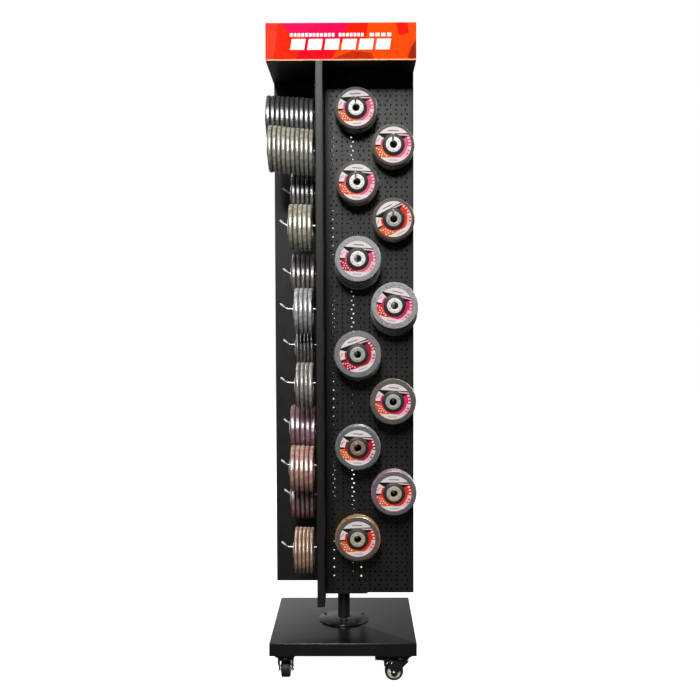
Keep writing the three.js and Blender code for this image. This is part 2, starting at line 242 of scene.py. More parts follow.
# A darker copy of the base's coat for the tray's top face: painted shade where the stand's dark reflection
# falls.
SHADED_TOP_COAT = speckled("powder_coat_top_painted_shade", (0.0013, 0.0011, 0.0008), (0.0021, 0.0018, 0.0013), (0.4, 0.5), 1100,
                    0.00004, **SATIN)
ZINC = speckled("zinc", (0.52, 0.53, 0.55), (0.68, 0.68, 0.67), (0.24, 0.4), 500, 0.00002, Metallic=1.0)
STEEL = speckled("steel", (0.6, 0.6, 0.6), (0.78, 0.78, 0.77), (0.14, 0.26), 700, 0.00001, Metallic=1.0)
CASTER_BLACK = speckled("caster_black", (0.006, 0.006, 0.006), (0.012, 0.012, 0.012), (0.26, 0.4), 700,
                        0.00003)
VINYL = speckled("tip_vinyl", (0.6, 0.59, 0.57), (0.7, 0.7, 0.69), (0.3, 0.42), 900, 0.00002)
NYLON = speckled("nylon", (0.62, 0.59, 0.5), (0.72, 0.7, 0.62), (0.4, 0.52), 600, 0.00003)
RUBBER = speckled("rubber", (0.012, 0.012, 0.013), (0.022, 0.021, 0.02), (0.45, 0.62), 900, 0.00005)
FLOOR = speckled("floor", (0.26, 0.26, 0.26), (0.28, 0.28, 0.28), (0.8, 0.9), 40, 0.00002, mottle=2.0,
                 Emission_Color=(1, 1, 1, 1), Emission_Strength=1.0)
# Each of these is a name, roughness, grain per metre, bump depth in metres and the grain's contrast.
PRINT = tinted("print", (0.5, 0.62), 60, 0.00001, 0.05, Specular_IOR_Level=0.1)
SIGN_PRINT = tinted("sign_print", (0.45, 0.6), 90, 0.00001, 0.16, Specular_IOR_Level=0.02)
COLLAR = tinted("collar", (0.32, 0.45), 900, 0.00002, 0.08)
FIBRE = tinted("fibre_plate", (0.4, 0.65), 260, 0.0001, 0.45)
ABRASIVE = tinted("abrasive_cloth", (0.55, 0.8), 700, 0.0003, 0.7, ruffle=0.0006, Specular_IOR_Level=1.0,
                  Coat_Weight=1.0, Coat_Roughness=0.24, Coat_IOR=2.4)


# ---------------------------------------------------------------- shapes
WHITE = (1.0, 1.0, 1.0)


class Shape:
    """Parts of one piece: points in millimetres, and a material number and a tint for each face.
    A part is its points and faces; its tint is one colour, or a list with one for each face."""

    def __init__(self):
        self.points, self.faces, self.kinds, self.tints = [], [], [], []

    def add(self, part, kind=0, tint=WHITE, at=None):
        points, faces = part
        points = np.asarray(points, float)
        if at is not None:
            turn = np.array(at.to_3x3())
            points = points @ turn.T + np.array(at.translation)
        first = len(self.points)
        self.points.extend(points.tolist())
        self.faces.extend([[first + i for i in face] for face in faces])
        self.kinds.extend([kind] * len(faces))
        self.tints.extend(tint if isinstance(tint, list) else [tint] * len(faces))

    def piece(self, name, body, materials, slot=None, replaces=(), turn=0.0, smooth=38):
        """Makes the object, smooth up to an angle in degrees, and rides it on its body."""
        mesh = bpy.data.meshes.new(name)
        mesh.from_pydata((np.array(self.points) * MM).tolist(), [], self.faces)
        for material in materials:
            mesh.materials.append(material)
        mesh.polygons.foreach_set("material_index", self.kinds)
        paint = mesh.color_attributes.new("Tint", "FLOAT_COLOR", "CORNER")
        corners = [(*tint, 1.0) for tint, face in zip(self.tints, self.faces) for _ in face]
        paint.data.foreach_set("color", np.array(corners, np.float32).ravel())
        work = bmesh.new()
        work.from_mesh(mesh)
        bmesh.ops.remove_doubles(work, verts=work.verts, dist=1e-6)
        bmesh.ops.recalc_face_normals(work, faces=work.faces)
        work.to_mesh(mesh)
        work.free()
        mesh.shade_smooth()
        mesh.set_sharp_from_angle(angle=math.radians(smooth))
        thing = bpy.data.objects.new(name, mesh)
        thing.rotation_euler.z = turn
        bpy.context.scene.collection.objects.link(thing)
        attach(thing, body)
        if replaces:
            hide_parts(*replaces)
        return thing


def skin(rings, closed=True, caps=False):
    """Quads between rings of as many points each; closed joins the last ring to the first."""
    n = len(rings[0])
    points = [p for ring in rings for p in ring]
    pairs = [(i, (i + 1) % len(rings)) for i in range(len(rings) if closed else len(rings) - 1)]
    nexts = [(j, (j + 1) % n) for j in range(n)]
    faces = [(a * n + j, a * n + k, b * n + k, b * n + j) for a, b in pairs for j, k in nexts]
    if caps:
        faces += [tuple(range(n)), tuple(range(len(points) - n, len(points)))]
    return points, faces


def lathe(profile, steps=48, closed=True):
    """A profile of (radius, height) pairs turned round Z. Closed profiles make rings."""
    turns = [2 * math.pi * i / steps for i in range(steps)]
    rings = [[(r * math.cos(a), r * math.sin(a), z) for a in turns] for r, z in profile]
    return skin(rings, closed)


def prism(outline, z0, z1):
    """A convex outline of (x, y) pairs between two heights."""
    return skin([[(x, y, z) for x, y in outline] for z in (z0, z1)], closed=False, caps=True)


def sector(r0, r1, start, end, z0, z1, steps=14):
    """Part of a flat ring between two angles in degrees."""
    turns = [math.radians(start + (end - start) * i / steps) for i in range(steps + 1)]
    section = ((r0, z0), (r1, z0), (r1, z1), (r0, z1))
    rings = [[(r * math.cos(a), r * math.sin(a), z) for r, z in section] for a in turns]
    return skin(rings, closed=False, caps=True)


def tube(path, radii, sides=12):
    """A round bar along a path that stays in a plane of constant X, one radius for each point."""
    turns = [2 * math.pi * k / sides for k in range(sides)]
    side = Vector((1, 0, 0))
    rings = []
    for i, (point, radius) in enumerate(zip(path, radii)):
        along = Vector(path[min(i + 1, len(path) - 1)]) - Vector(path[max(i - 1, 0)])
        up = side.cross(along.normalized())
        rings.append([tuple(Vector(point) + radius * (math.cos(a) * side + math.sin(a) * up)) for a in turns])
    return skin(rings, closed=False, caps=True)


def curve(knots, steps):
    """Points on a smooth (Catmull-Rom) curve through the knots, which are (y, z) pairs."""
    knots = [knots[0], *knots, knots[-1]]
    found = []
    for a, b, c, d in zip(knots, knots[1:], knots[2:], knots[3:]):
        for t in (k / steps for k in range(steps)):
            weights = (-t + 2 * t**2 - t**3, 2 - 5 * t**2 + 3 * t**3, t + 4 * t**2 - 3 * t**3, t**3 - t**2)
            found.append(tuple(0.5 * sum(w * v for w, v in zip(weights, row)) for row in zip(a, b, c, d)))
    return [*found, knots[-1]]


QUARTERS = ((1, 1), (-1, 1), (-1, -1), (1, -1))  # the signs of x and y in each quarter turn


def rounded_square(half, corner, z, steps=6):
    """A ring of points round a square with round corners."""
    found = []
    for quarter in range(4):
        for k in range(steps + 1):
            a = math.radians(90 * (quarter + k / steps))
            sx, sy = QUARTERS[quarter]
            x, y = sx * (half - corner) + corner * math.cos(a), sy * (half - corner) + corner * math.sin(a)
            found.append((x, y, z))
    return found


# ---------------------------------------------------------------- floor
FLOOR_HALF = 9.0  # metres


def make_floor():
    """A plain pale sheet, which lights nothing and shows in no reflection."""
    mesh = bpy.data.meshes.new("floor")
    mesh.from_pydata([(FLOOR_HALF * x, FLOOR_HALF * y, 0) for x, y in QUARTERS], [], [(0, 1, 2, 3)])
    mesh.materials.append(FLOOR)
    thing = bpy.data.objects.new("floor", mesh)
    bpy.context.scene.collection.objects.link(thing)
    thing.visible_diffuse = thing.visible_glossy = False


make_floor()

# ---------------------------------------------------------------- perforated panels
BAYS = ("front", "right", "rear", "left")  # each a quarter turn on from the one before
PANEL_LOW, PANEL_HIGH = bottom("panel_front"), top("panel_front")
FACE_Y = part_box("panel_front")[0].y / MM
PANEL_START, PANEL_END = (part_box("panel_front")[i].x / MM for i in (0, 1))
BACK_Y = -48.0  # the wing's rear skin, which ends at SKIN_END
SKIN_END = 52
CORE_FLANGE = 16  # length of the flange inside the core
SHEET = 1.2
FOLD = 1.8
FOLD_STEPS = 5
HOLE_RADIUS = 2.65
HOLE_SIDES = 12
ROW_STEP = 12.5
FINE_STEP, COARSE_STEP = 15, 25
FINE_ROW = [-30 + FINE_STEP * i for i in range(15)]
COARSE_ROW = [-25 + COARSE_STEP * i for i in range(9)]
FIRST_ROW = PANEL_LOW + 10
ROWS = 115


def panel_profile():
    """The folded sheet in plan, as (outer, inner) pairs from the core flange round to the rear skin."""
    pairs = [((PANEL_START, FACE_Y + CORE_FLANGE), (PANEL_START + SHEET, FACE_Y + CORE_FLANGE))]
    folds = (
        (PANEL_START + FOLD, FACE_Y + FOLD, 180),
        (PANEL_END - FOLD, FACE_Y + FOLD, 270),
        (PANEL_END - FOLD, BACK_Y - FOLD, 0),
    )
    for x, y, start in folds:
        for k in range(FOLD_STEPS + 1):
            a = math.radians(start + 90 * k / FOLD_STEPS)
            ray = (math.cos(a), math.sin(a))
            pairs.append(tuple((x + r * ray[0], y + r * ray[1]) for r in (FOLD, FOLD - SHEET)))
    return [*pairs, ((SKIN_END, BACK_Y), (SKIN_END, BACK_Y - SHEET))]


def perforated_strip(holes, breaks, height):
    """One row's strip of sheet with its holes cut: points (x, z), triangles, and each hole's ring."""
    points = [(x, z) for z in (-height / 2, height / 2) for x in breaks]
    n = len(breaks)
    edges = [(i, i + 1) for i in range(n - 1)] + [(n + i, n + i + 1) for i in range(n - 1)]
    edges += [(0, n), (n - 1, 2 * n - 1)]
    rings = []
    for x in holes:
        first = len(points)
        ring = [first + k for k in range(HOLE_SIDES)]
        turns = [2 * math.pi * (k + 0.5) / HOLE_SIDES for k in range(HOLE_SIDES)]
        points += [(x + HOLE_RADIUS * math.cos(a), HOLE_RADIUS * math.sin(a)) for a in turns]
        edges += [(ring[k], ring[(k + 1) % HOLE_SIDES]) for k in range(HOLE_SIDES)]
        rings.append(ring)
    cut = delaunay_2d_cdt([Vector(p) for p in points], edges, [], 0, 1e-5)
    source = [origin[0] for origin in cut[3]]
    triangles = [[source[i] for i in face] for face in cut[2]]

    def solid(face):
        x, z = (sum(points[i][axis] for i in face) / 3 for axis in (0, 1))
        return all(math.hypot(x - hole, z) > HOLE_RADIUS * 0.99 for hole in holes)

    return points, [face for face in triangles if solid(face)], rings


def perforated_panel():
    """The folded panel, with its face perforated in two alternating rows of holes."""
    shape = Shape()
    profile = panel_profile()
    levels = [PANEL_LOW, *(FIRST_ROW + ROW_STEP * (k - 0.5) for k in range(ROWS + 1)), PANEL_HIGH]
    open_face = FOLD_STEPS + 1  # the profile's stretch that carries the perforation
    left, right = profile[open_face][0][0], profile[open_face + 1][0][0]
    n = len(profile)
    points = [(*pair[side], z) for z in levels for side in (0, 1) for pair in profile]
    faces, inside = [], []
    for level in range(len(levels) - 1):
        low, high = 2 * n * level, 2 * n * (level + 1)
        plain_row = level in (0, len(levels) - 2)
        for side, skin_faces in ((0, faces), (n, inside)):
            for p in range(n - 1):
                if p != open_face or plain_row:
                    a, b = low + side + p, high + side + p
                    skin_faces.append((a, a + 1, b + 1, b))
        for p in (0, n - 1):
            faces.append((low + p, low + n + p, high + n + p, high + p))
    for base in (0, 2 * n * (len(levels) - 1)):
        faces += [(base + p, base + p + 1, base + n + p + 1, base + n + p) for p in range(n - 1)]
    shape.add((points, faces))
    # The inner side takes the darker coat: painted shade inside the tower.
    shape.add((points, inside), 1)
    # Both kinds of row break their edges at the same places, half way between holes.
    between = {*(h + FINE_STEP / 2 for h in FINE_ROW), *(h + COARSE_STEP / 2 for h in COARSE_ROW)}
    breaks = [left, *(x for x in sorted(between) if x < right - 3), right]
    strips = [perforated_strip(row, breaks, ROW_STEP) for row in (FINE_ROW, COARSE_ROW)]
    for row in range(ROWS):
        flat, triangles, rings = strips[row % 2]
        z0 = FIRST_ROW + ROW_STEP * row
        sheet = [(x, y, z0 + z) for y in (FACE_Y, FACE_Y + SHEET) for x, z in flat]
        back = len(flat)
        walls = [
            (ring[k], ring[(k + 1) % HOLE_SIDES], back + ring[(k + 1) % HOLE_SIDES], back + ring[k])
            for ring in rings
            for k in range(HOLE_SIDES)
        ]
        shape.add((sheet, [*triangles, *walls]))
        # The sheet's back takes the darker coat too: painted shade seen through the holes.
        shape.add((sheet, [[back + i for i in face] for face in triangles]), 1)
    return shape


panel_shape = perforated_panel()
for i, bay in enumerate(BAYS):
    panel_shape.piece(f"perforated_panel_{bay}", "tower", [COAT, INSIDE_SHADE_COAT], "powder_coat",
                      [f"panel_{bay}"], turn=i * math.pi / 2, smooth=30)

# ---------------------------------------------------------------- sign faces
SIGN_COLOURS = {
    name: colour(code)
    for name, code in (
        ("orange", "f04806"), ("coral", "ee3c28"), ("vermilion", "f02808"), ("magenta", "ec0450"),
        ("pink", "f00c58"), ("red", "f80420"), ("scarlet", "f01808"), ("amber", "ff4a02"),
        ("rust", "c02c08"), ("maroon", "a02406"), ("white", "fbf6f2"), ("peach", "f6b489"),
    )
}
# Plain facets, as outlines in shares of the sign's width and height; a later one lies on an earlier one.
SIGN_FACETS = [
    ("coral", [(0, 0.04), (0.05, 0.04), (0.1, 1), (0, 1)]),
    ("vermilion", [(0.05, 0.04), (0.24, 0.04), (0.17, 1), (0.08, 1)]),
    ("pink", [(0.1, 1), (0.36, 1), (0.27, 0.6), (0.17, 0.7)]),
    ("magenta", [(0.33, 1), (0.62, 1), (0.5, 0.56), (0.26, 0.62)]),
    ("red", [(0.2, 0.04), (0.44, 0.04), (0.52, 0.58), (0.25, 0.64)]),
    ("scarlet", [(0.55, 1), (0.68, 1), (0.66, 0.55), (0.5, 0.56)]),
    ("rust", [(0.44, 0.04), (0.72, 0.04), (0.7, 0.2), (0.52, 0.28)]),
    ("amber", [(0.44, 0.04), (0.5, 0.5), (0.6, 0.3)]),
    ("amber", [(0.68, 1), (0.86, 1), (0.9, 0.6), (0.74, 0.4)]),
    ("scarlet", [(0.86, 1), (0.94, 1), (0.95, 0.72), (0.89, 0.66)]),
    ("maroon", [(0.94, 0.04), (1, 0.04), (1, 0.55), (0.965, 0.34)]),
]


def rectangle(x0, x1, z0, z1, y):
    return [(x0, y, z0), (x1, y, z0), (x1, y, z1), (x0, y, z1)]


def sign_shape():
    """The sign sheet with its facets, a thin bar of dashes and a row of plain blocks, in the front place."""
    shape = Shape()
    low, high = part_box("sign_front")
    x0, x1, z0, z1, y = low.x / MM, high.x / MM, low.z / MM, high.z / MM, low.y / MM

    def flat(outline, tint, lift):
        ring = [(x0 + u * (x1 - x0), z0 + v * (z1 - z0)) for u, v in outline]
        points = [(x, y - lift * side, z) for side in (0, 1) for x, z in ring]
        n = len(ring)
        faces = [tuple(range(n)), tuple(range(n, 2 * n))]
        faces += [(k, (k + 1) % n, n + (k + 1) % n, n + k) for k in range(n)]
        shape.add((points, faces), 0, tint)

    sheet = [rectangle(x0, x1, z0, z1, side) for side in (y, high.y / MM)]
    shape.add(skin(sheet, closed=False, caps=True), 0, SIGN_COLOURS["orange"])
    for k, (name, outline) in enumerate(SIGN_FACETS):
        flat(outline, SIGN_COLOURS[name], 0.04 + 0.01 * k)
    flat([(0, 0), (1, 0), (1, 0.035), (0, 0.035)], SIGN_COLOURS["peach"], 0.2)

    def block(u0, u1, v0, v1, lean=0.0):
        flat([(u0, v0), (u1, v0), (u1 + lean, v1), (u0 + lean, v1)], SIGN_COLOURS["white"], 0.25)

    for start, step, count in ((0.16, 0.0252, 12), (0.485, 0.0246, 7), (0.69, 0.0385, 4)):  # dashes
        for k in range(count):
            u = start + step * k
            block(u, u + step * 0.74, 0.635, 0.73)
    for k in range(6):  # blocks
        u = 0.16 + 0.1135 * k
        block(u, u + 0.094, 0.285, 0.575, 0.012)
    return shape


sign = sign_shape()
for i, bay in enumerate(BAYS):
    sign.piece(f"printed_sign_{bay}", "tower", [SIGN_PRINT], "sign_print", [f"sign_{bay}"],
               turn=i * math.pi / 2)

# ---------------------------------------------------------------- hooks
INTO_FRONT = Matrix.Identity(4)
INTO_LEFT = Matrix.Rotation(-math.pi / 2, 4, "Z")
HOOK_TIP_RISE = 13.5
HOOK_WIRE = 2.3
PLATE_HALF_WIDTH, PLATE_HALF_HEIGHT, PLATE_CORNER = 17, 7, 2.5
PRONG_X = 12.5


def hook_shape(reach, at):
    """A wire that ends in an upturned, capped tip, on a plate with two prongs through the panel."""
    shape = Shape()
    knots = [(0, 0), (-reach * 0.4, 0.3), (24 - reach, 0.7), (16 - reach, 1.8), (10 - reach, 5.5),
             (-reach, HOOK_TIP_RISE)]
    path = [(0, y, z) for y, z in curve(knots, 5)]
    shape.add(tube(path, [HOOK_WIRE] * len(path)), 0, WHITE, at)
    cap = path[-5:]
    cap_end = (0, cap[-1][1] - 1.6, cap[-1][2] + 1.6)
    shape.add(tube([*cap, cap_end], [2.4, 2.7, 2.8, 2.8, 2.5, 1.1]), 1, WHITE, at)
    plate = [
        (sx * (PLATE_HALF_WIDTH - PLATE_CORNER) + PLATE_CORNER * math.cos(a),
         sz * (PLATE_HALF_HEIGHT - PLATE_CORNER) + PLATE_CORNER * math.sin(a))
        for q, (sx, sz) in enumerate(QUARTERS)
        for a in (math.radians(90 * q + 30 * k) for k in range(4))
    ]
    rings = [[(x * s, y, z * s) for x, z in plate] for y, s in ((-0.3, 1), (-1.6, 1), (-1.9, 0.96))]
    shape.add(skin(rings, closed=False, caps=True), 0, WHITE, at)
    for x in (-PRONG_X, PRONG_X):
        prong = [(x, -1, 0), (x, 3, 0), (x, 5.5, 0.8), (x, 7, 3), (x, 7.2, 9)]
        shape.add(tube(prong, [2.1] * 5, 8), 0, WHITE, at)
    bead = [(3.4 * math.cos(a), -2.2, 3.4 * math.sin(a)) for a in (math.pi * k / 6 for k in range(12))]
    narrow = [(x * 0.7, -4.2, z * 0.7) for x, _, z in bead]
    shape.add(skin([bead, narrow], closed=False, caps=True), 0, WHITE, at)
    return shape


def hooks_in(bay, turn):
    """Puts a detailed hook where each CAD hook of a bay is; turn takes the front bay to this one."""
    count = sum(name.startswith(f"hook_{bay}_") for name in frame["nodes"])
    for i in range(1, count + 1):
        node = f"hook_{bay}_{i}"
        low, high = (turn.inverted() @ (Vector(corner) / MM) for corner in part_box(node))
        reach = round(abs(high.y - low.y) - 1.2)  # less the part of the CAD hook behind its wire
        root = Vector(((low.x + high.x) / 2, FACE_Y, low.z + PLATE_HALF_HEIGHT))
        shape = hook_shape(reach, turn @ Matrix.Translation(root))
        shape.piece(f"wire_hook_{bay}_{i}", "tower", [ZINC, VINYL], "zinc_wire", [node])


hooks_in("front", INTO_FRONT)
hooks_in("left", INTO_LEFT)

# ---------------------------------------------------------------- goods on the hooks
CREAM, INK, BLACK, HUB, DASH = (colour(c) for c in ("e2dad8", "6a4a4c", "1a1918", "2c2826", "a89ea0"))
# Turns a disc's label side, +Z, to face the front.
FACING_FRONT = Matrix(((1, 0, 0, 0), (0, 0, -1, 0), (0, 1, 0, 0), (0, 0, 0, 1)))
FLAPS = 64
LABEL_RADIUS = 49.0
LABEL_BORE = 30.2


def shaded(tint, share):
    return tuple(c * share for c in tint)


def dot(x, y, radius, sides):
    turns = [2 * math.pi * k / sides for k in range(sides)]
    return [(x + radius * math.cos(a), y + radius * math.sin(a)) for a in turns]


def flap_ring(radius, depth, step):
    """Overlapping abrasive flaps behind the plate: each steps out from the one before it."""
    rings = []
    for k in range(FLAPS):
        for share, outer in ((0, radius), (1, radius - step)):
            section = (  # radius, height, and lag behind the flap's front edge in shares of a flap
                (radius - step - 2.2, -1.7, 0), (outer - 1.4, -2.2, 0), (outer - 0.3, -3.3, 0.05),
                (outer, 0.5 * -depth, 0.1), (outer - 0.5, 2.6 - depth, 0.2), (outer - 2.2, 1.0 - depth, 0.25),
                (outer - 5, 0.2 - depth, 0.3), (38, 0.4 - depth, 0.3), (36, -1.9, 0),
            )
            turns = [(r, z, 2 * math.pi * (k + share + lag) / FLAPS) for r, z, lag in section]
            rings.append([(r * math.cos(a), r * math.sin(a), z) for r, z, a in turns])
    return skin(rings)


def add_label(shape, at, left, right, turned):
    """A printed paper ring round the hub: plain colour fields, dots and blocks."""
    at = at @ Matrix.Rotation(math.radians(turned), 4, "Z")
    field_edge = LABEL_RADIUS - 0.6

    def put(part, tint):
        shape.add(part, 2, tint, at)

    def cap(chord, radius, z0, z1):
        """The part of a disc above a chord; a chord below the centre turns it upside down."""
        half = math.degrees(math.acos(abs(chord) / radius))
        middle = 90 if chord > 0 else 270
        turns = [math.radians(middle - half + 2 * half * k / 16) for k in range(17)]
        return prism([(radius * math.cos(a), radius * math.sin(a)) for a in turns], z0, z1)

    def bar(x0, y0, x1, y1, tall, tint, z0=0.2, z1=0.42):
        put(prism([(x0, y0), (x1, y1), (x1, y1 + tall), (x0, y0 + tall)], z0, z1), tint)

    lilac = tuple(0.3 * a + 0.7 * b for a, b in zip(right, CREAM))
    for start, end, tint in ((30, 186, BLACK), (186, 272, left), (-88, 30, right)):
        put(sector(LABEL_BORE, LABEL_RADIUS, start, end, 0.0, 0.1, 24), tint)
    # The upper half: a cap with a dash on it, a slim bar, and a block with three strokes.
    put(cap(30.5, field_edge, 0.05, 0.25), CREAM)
    bar(-14, 36.8, 14, 36.2, 2.2, INK)
    bar(8, 25.4, 41, 23.4, 3.4, lilac, 0.05, 0.25)
    put(sector(30.6, field_edge, 146, 180, 0.05, 0.25), CREAM)
    put(sector(LABEL_BORE, 35, 150, 196, 0.1, 0.32), right)
    for k in range(3):
        bar(-46 + 3.6 * k, 7 + 3 * k, -44.2 + 3.6 * k, 6.6 + 3 * k, 5, right, 0.1, 0.33)
    # The lower left: three staggered rows of dots, with gaps.
    for k in range(7):
        for row, r in enumerate((35.4, 41.0, 46.4)):
            a = math.radians(192 + 11.5 * k + 5.7 * (row % 2))
            if (k + 2 * row) % 5 and 192 + 11.5 * k < 262 - 6 * row:
                put(prism(dot(r * math.cos(a), r * math.sin(a), 1.9, 8), 0.1, 0.36), CREAM)
    # The bottom and the right: a cap with short dashes, a pale field, and a row of plain blocks.
    put(cap(-34.5, field_edge, 0.12, 0.34), CREAM)
    put(sector(37.5, field_edge, -62, -6, 0.05, 0.28, 16), lilac)
    for k in range(5):
        bar(-11 + 4.6 * k, -43.0, -7.6 + 4.6 * k, -43.0, 3.2, DASH, 0.2, 0.4)
    for k in range(6):
        a = 24 - 11.5 * k
        put(sector(41.0, 47.0, a - 2.6, a + 2.6, 0.1, 0.36, 3), CREAM if k < 4 else right)


def add_disc(shape, at, radius, depth, plate, flaps, collar, label, step):
    """One flap disc, its label side towards +Z; step is how far each flap stands out from the last."""
    edge = radius - step - 0.8
    hub = [(10.4, 1.6), (10.4, 4), (22.5, 4), (25, 3.3), (29.6, 0.4), (30.6, 0), (30.6, -1), (23.5, 1.5)]
    shape.add(lathe(hub), 0, HUB, at)
    rim = [(edge - 4.5, 0), (edge - 0.6, -0.5), (edge, -1.2), (edge, -1.9)]
    shape.add(lathe([(30.4, 0), *rim, (34, -1.9), (30.4, -1.6)]), 0, plate, at)
    ring = flap_ring(radius, depth, step)
    per_flap = len(ring[1]) // FLAPS
    tones = [shaded(flaps, 0.74 + 0.52 * (5 * k % 7) / 6) for k in range(FLAPS) for _ in range(per_flap)]
    shape.add(ring, 1, tones, at)
    washer = [(10, 3.8), (10, 4.6), (10.8, 5.0), (19.4, 5.0), (20.4, 4.5), (20.4, 3.8)]
    shape.add(lathe(washer), 3, collar, at)
    if not label:
        return
    add_label(shape, at, *label)
    for k in range(6):
        a = 2 * math.pi * k / 6 + 0.5
        shape.add(prism(dot(15.8 * math.cos(a), 15.8 * math.sin(a), 1.3, 6), 4.8, 5.1), 2, BLACK, at)


def disc_stack(name, at, discs, pitch, radius, plate, flaps, collar, label, lift=0.0, fall=0.0, step=0.8):
    """Discs one behind another from the labelled front one back towards the panel. They drop by lift over
    the first three, and by fall over the whole stack."""
    shape = Shape()
    for k in range(discs):
        behind = k > 0
        drop = lift * min(1.0, k / 3) + fall * k / discs
        shift = Matrix.Translation((random.uniform(-0.7, 0.7) * behind, -drop, -pitch * k))
        tilt = Matrix.Rotation(random.uniform(-0.006, 0.006), 4, "X")
        spin = Matrix.Rotation(random.uniform(0, 6.28) * behind, 4, "Z")
        tone = random.uniform(0.8, 1.2)
        size = radius + random.uniform(-0.4, 0.4)
        add_disc(shape, at @ shift @ tilt @ spin, size, pitch - 0.7, shaded(plate, tone), shaded(flaps, tone),
                 collar, None if behind else label, step)
    shape.piece(name, "tower", [FIBRE, ABRASIVE, PRINT, COLLAR])


ORANGE, TANGERINE, CRIMSON, ROSE, MAGENTA, SCARLET = (
    colour(c) for c in ("dc6414", "e8541c", "b01c38", "d85a80", "d42a6a", "dc3424")
)
SILVER, PEWTER, GILT, COPPER = (colour(c) for c in ("e6e4e0", "a9a6a2", "b6a992", "8f7468"))
LARGE_DISC = 62.5
GOODS_GAP = 6  # from the panel to the last disc
WIDEST_PITCH = 13.6
FRONT_GOODS = [
    # centre height, hang to one side, distance out, discs, radius, plate, flaps, collar,
    # label (left field, right field, turn in degrees), lift, flap step
    (1549.5, 1.5, 57, 4, 58, "3a302c", "7a7468", SILVER, (ORANGE, ROSE, 3), 2, 0.8),
    (1450.6, 2.5, 57, 4, 58, "453c32", "9a8a70", SILVER, (ORANGE, ROSE, 0), 2, 0.8),
    (1351.0, 3.5, 57, 4, 58, "3a3634", "8a8478", SILVER, (TANGERINE, ROSE, -2), 2, 0.8),
    (1250.7, 3, 57, 4, 58, "423a32", "8c7a5c", PEWTER, (TANGERINE, SCARLET, 28), 2, 0.8),
    (1142.0, 5.5, 82, 6, 62.8, "8c8c8e", "98989a", SILVER, (CRIMSON, ROSE, -4), 18, 0.8),
    (1016.0, 4, 84, 6, 64, "8a8a8c", "a09e98", SILVER, (SCARLET, MAGENTA, -12), 18, 0.8),
    (885.0, 4, 82, 6, 64.2, "77777b", "8c8a86", PEWTER, (CRIMSON, CRIMSON, 20), 11, 0.8),
    (756.3, 0, 78, 5, 62.5, "544e46", "8a7a5c", PEWTER, (TANGERINE, MAGENTA, -3), 6, 0.8),
    (631.0, 4, 78, 5, 62.5, "5c5e62", "9a9ca0", COPPER, (ORANGE, CRIMSON, -2), 4, 2.0),
    (506.0, 2, 78, 5, 62.5, "665c66", "a88a92", GILT, (TANGERINE, SCARLET, 0), 4, 1.4),
    (381.2, 3, 78, 5, 62.5, "5a544e", "cc9650", GILT, (ORANGE, SCARLET, 3), 6, 2.6),
]
for i, (height, aside, out, discs, radius, plate, flaps, *rest) in enumerate(FRONT_GOODS, 1):
    low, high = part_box(f"hook_front_{i}")
    at = Matrix.Translation(((low.x + high.x) / 2 / MM + aside, FACE_Y - out, height)) @ FACING_FRONT
    pitch = min((out - GOODS_GAP) / (discs - 0.1), WIDEST_PITCH)
    collar, label, lift, step = rest
    disc_stack(f"disc_stack_front_{i}", at, discs, pitch, radius, colour(plate), colour(flaps), collar, label,
               lift=lift, step=step)

LEFT_GOODS = [
    # centre height, inner and outer ends from the pole axis, discs, plate, flaps, fall towards the panel
    (1541.0, 77, 209, 10, "302c2c", "3c3838", 9),
    (1438.0, 74, 195, 10, "5c584e", "a09c8c", 13),
    (1331.0, 77, 140, 5, "2c2a2a", "565050", 4),
    (1228.0, 79, 141, 5, "7a7854", "a09a8a", 2),
    (1103.0, 76, 140, 5, "5a4034", "605654", 3),
    (1003.0, 78, 127, 4, "7c7c7c", "9a9a9c", 2),
    (901.4, 80, 129, 5, "4a4640", "565050", 2),
    (801.8, 78, 124, 4, "6c6860", "8e8880", 2),
    (675.0, 76, 146, 5, "7a5458", "7e5660", 3),
    (574.8, 77, 140, 5, "8c6458", "b88a7a", 3),
    (477.7, 80, 145, 5, "503436", "744a48", 2),
    (349.9, 78, 130, 5, "7a6048", "a2806a", 2),
]
for i, (height, near, far, discs, plate, flaps, fall) in enumerate(LEFT_GOODS, 1):
    low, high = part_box(f"hook_left_{i}")
    at = INTO_LEFT @ Matrix.Translation((-(low.y + high.y) / 2 / MM, -far, height)) @ FACING_FRONT
    disc_stack(f"disc_stack_left_{i}", at, discs, (far - near) / discs, LARGE_DISC, colour(plate),
               colour(flaps), SILVER, (ORANGE, ROSE, 5 * i), fall=fall)

# ---------------------------------------------------------------- base and pole
BASE_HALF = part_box("base_tray")[1].x / MM
BASE_HIGH, BASE_LOW = top("base_tray"), bottom("base_tray")
TRAY_SHEET = 2.0


def base_tray():
    """The folded tray with round corners and a rolled upper edge; its top face takes a darker copy of the
    coat, painted shade for the stand's dark reflection there.
    """
    shape = Shape()
    inner_corner, outer_corner, roll = 1.2, 3, 1.8
    rings = [rounded_square(BASE_HALF - TRAY_SHEET, inner_corner, BASE_LOW),
             rounded_square(BASE_HALF, outer_corner, BASE_LOW)]
    for a in (math.radians(15 * k) for k in range(7)):
        inset, height = roll * (1 - math.cos(a)), BASE_HIGH - roll + roll * math.sin(a)
        rings.append(rounded_square(BASE_HALF - inset, outer_corner - inset * 0.5, height))
    n = len(rings[0])
    shape.add(skin(rings, closed=False))
    # The top face gets the darker copy of the coat: painted shade.
    shape.add((rings[-1], [tuple(range(n))]), 1)
    ceiling = rounded_square(BASE_HALF - TRAY_SHEET, inner_corner, BASE_HIGH - TRAY_SHEET)
    points, faces = skin([rings[0], ceiling], closed=False)
    shape.add((points, [*faces, tuple(range(n, 2 * n))]))
    shape.piece("folded_base_tray", "base", [SATIN_COAT, SHADED_TOP_COAT], "powder_coat", ["base_tray"])


base_tray()


